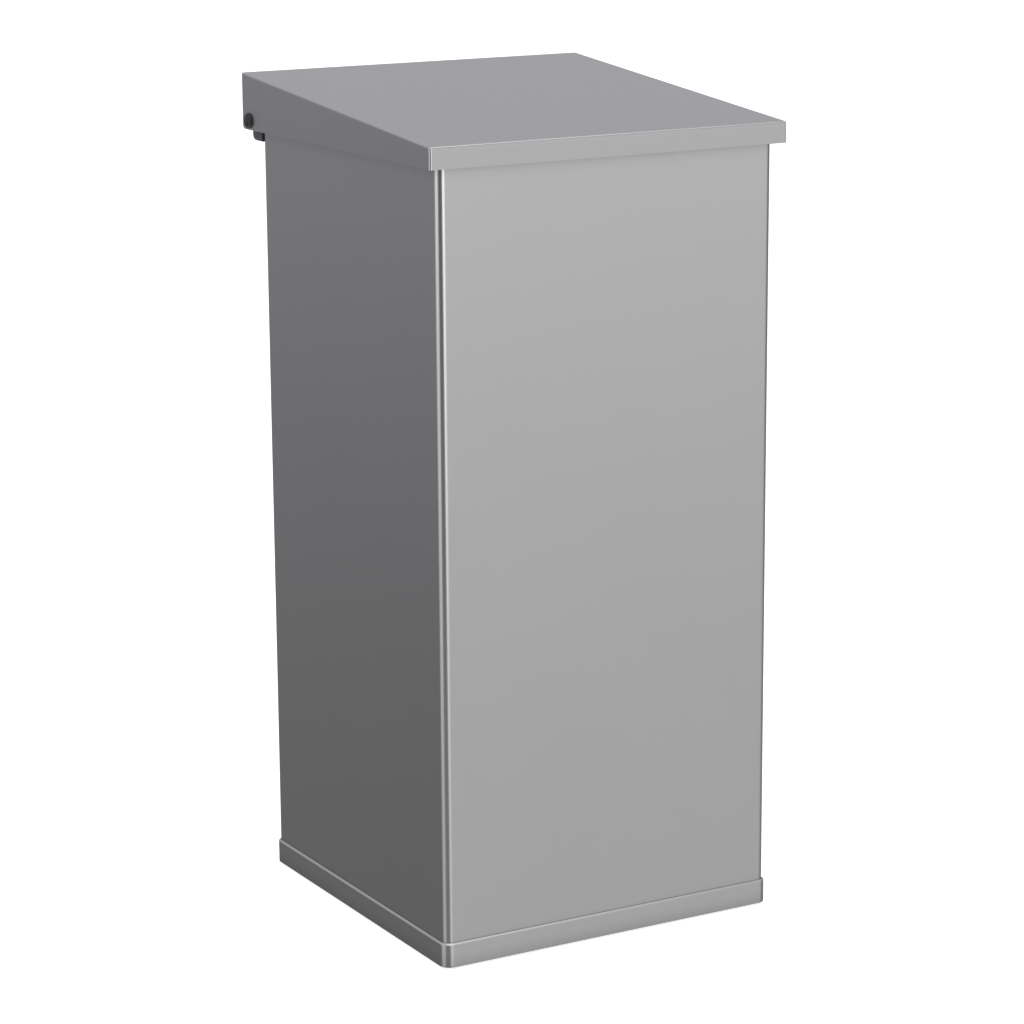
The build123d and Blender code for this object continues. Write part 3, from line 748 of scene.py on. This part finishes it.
def level_ramp(tree, stops, source):
    """A ramp from 0 to 1 through (position, level) stops, fed by a source socket."""
    node = add_node(tree, "ShaderNodeValToRGB", links={"Fac": source})
    elements = node.color_ramp.elements
    while len(elements) < len(stops):
        elements.new(0.5)
    for element, (position, level) in zip(elements, stops):
        element.position = position
        element.color = (*(level if isinstance(level, tuple) else (level,) * 3), 1.0)
    return node.outputs["Color"]


def blend_levels(tree, share, low, high):
    """A colour that goes from low to high as share goes from 0 to 1."""
    mix = tree.nodes.new("ShaderNodeMix")
    mix.data_type = "RGBA"
    tree.links.new(share, mix.inputs["Factor"])
    for socket, source in ((mix.inputs[6], low), (mix.inputs[7], high)):
        if isinstance(source, tuple):
            socket.default_value = source
        else:
            tree.links.new(source, socket)
    return mix.outputs[2]


def studio_world(strength):
    """Surroundings whose level depends on azimuth near the horizon and on height above it."""
    world = bpy.data.worlds.new("studio")
    world.use_nodes = True
    tree = world.node_tree
    way = add_node(tree, "ShaderNodeTexCoord")
    axes = add_node(tree, "ShaderNodeSeparateXYZ", links={"Vector": way.outputs["Generated"]})
    angle = calculate(tree, "ARCTAN2", axes.outputs["Y"], axes.outputs["X"])
    azimuth = calculate(tree, "FRACT", calculate(tree, "DIVIDE", angle, 2 * pi))
    rise = axes.outputs["Z"]
    high = level_ramp(tree, [(at / 360, level) for at, level, _ in STUDIO], azimuth)
    low = level_ramp(tree, [(at / 360, level) for at, _, level in STUDIO], azimuth)
    share = calculate(tree, "POWER", fade(tree, rise, FLOOR_SINE, HORIZON_SINE), HORIZON_CURVE)
    room = blend_levels(tree, share, low, high)
    room = blend_levels(tree, fade(tree, rise, SKY_START, SKY_FULL), room,
                        level_ramp(tree, SKY, rise))
    room = blend_levels(tree, fade(tree, rise, NEAR_START, NEAR_FULL), room, WHITE)
    seen = add_node(tree, "ShaderNodeLightPath")
    room = blend_levels(tree, seen.outputs["Is Camera Ray"], room, WHITE)
    shader = tree.nodes["Background"]
    shader.inputs["Strength"].default_value = strength
    tree.links.new(room, shader.inputs["Color"])
    return world


class BIN_OT_stage(bpy.types.Operator):
    """Set up the floor, the lights, the surroundings and the camera"""
    bl_idname = "waste_bin.stage"
    bl_label = "Stage"

    def execute(self, context):
        """A wide white floor, a soft overhead light, the studio and the photograph's camera."""
        stage = context.scene.bin_stage
        corners = [(x * FLOOR_REACH, y * FLOOR_REACH, 0.0)
                   for x, y in ((-1, -1), (1, -1), (1, 1), (-1, 1))]
        mesh = bpy.data.meshes.new("floor")
        mesh.from_pydata(corners, [], [(0, 1, 2, 3)])
        paper = bpy.data.materials.new("floor_paper")
        paper.use_nodes = True
        shader = paper.node_tree.nodes["Principled BSDF"]
        shader.inputs["Base Color"].default_value = (*stage.floor, 1)
        shader.inputs["Roughness"].default_value = 0.9
        shader.inputs["Specular IOR Level"].default_value = 0.0
        shader.inputs["Emission Color"].default_value = WHITE
        shader.inputs["Emission Strength"].default_value = stage.floor_glow
        mesh.materials.append(paper)
        floor = bpy.data.objects.new("floor", mesh)
        floor.visible_diffuse = floor.visible_glossy = False
        context.scene.collection.objects.link(floor)

        area_light("top", LIGHT_PLACE, LIGHT_TARGET, LIGHT_SIZE, stage.top_power)
        context.scene.world = studio_world(stage.surround)
        context.scene.view_settings.view_transform = "Standard"

        lens = bpy.data.cameras.new("camera")
        lens.sensor_width = 36.0
        lens.lens = stage.lens
        lens.clip_end = 200.0
        camera = bpy.data.objects.new("camera", lens)
        camera.location = stage.camera_place
        camera.rotation_euler = stage.camera_turn
        context.scene.collection.objects.link(camera)
        context.scene.camera = camera
        return {"FINISHED"}


class BIN_PT_panel(bpy.types.Panel):
    """Lists the bin's pieces, sizes and finishes"""
    bl_idname = "BIN_PT_panel"
    bl_label = "Waste Bin"
    bl_space_type = "VIEW_3D"
    bl_region_type = "UI"
    bl_category = "Waste Bin"

    def draw(self, context):
        """A button for each operator, then the properties."""
        column = self.layout.column(align=True)
        for operator in OPERATORS:
            column.operator(operator.bl_idname)
        for group in GROUPS:
            settings = getattr(context.scene, group)
            box = self.layout.box()
            for label in settings.__annotations__:
                box.prop(settings, label)


OPERATORS = (BIN_OT_body_shell, BIN_OT_plinth, BIN_OT_cover, BIN_OT_rod_caps,
             BIN_OT_seam_rivets, BIN_OT_fittings, BIN_OT_stage)
GROUPS = {"bin_sizes": BinSizes, "bin_colours": BinColours, "bin_stage": BinStage}


def register():
    """Register the classes and hang the settings on the scene."""
    for kind in (*GROUPS.values(), *OPERATORS, BIN_PT_panel):
        bpy.utils.register_class(kind)
    for name, kind in GROUPS.items():
        setattr(bpy.types.Scene, name, PointerProperty(type=kind))


def unregister():
    """Take the settings and the classes away again."""
    for name in GROUPS:
        delattr(bpy.types.Scene, name)
    for kind in (BIN_PT_panel, *reversed(OPERATORS), *reversed(GROUPS.values())):
        bpy.utils.unregister_class(kind)


def main():
    """Build the whole scene."""
    register()
    bpy.ops.waste_bin.stage()
    bpy.ops.waste_bin.body_shell()
    bpy.ops.waste_bin.plinth()
    bpy.ops.waste_bin.cover()
    bpy.ops.waste_bin.rod_caps()
    bpy.ops.waste_bin.seam_rivets()
    bpy.ops.waste_bin.fittings()
    bpy.context.view_layer.update()


if __name__ == "__main__":
    main()
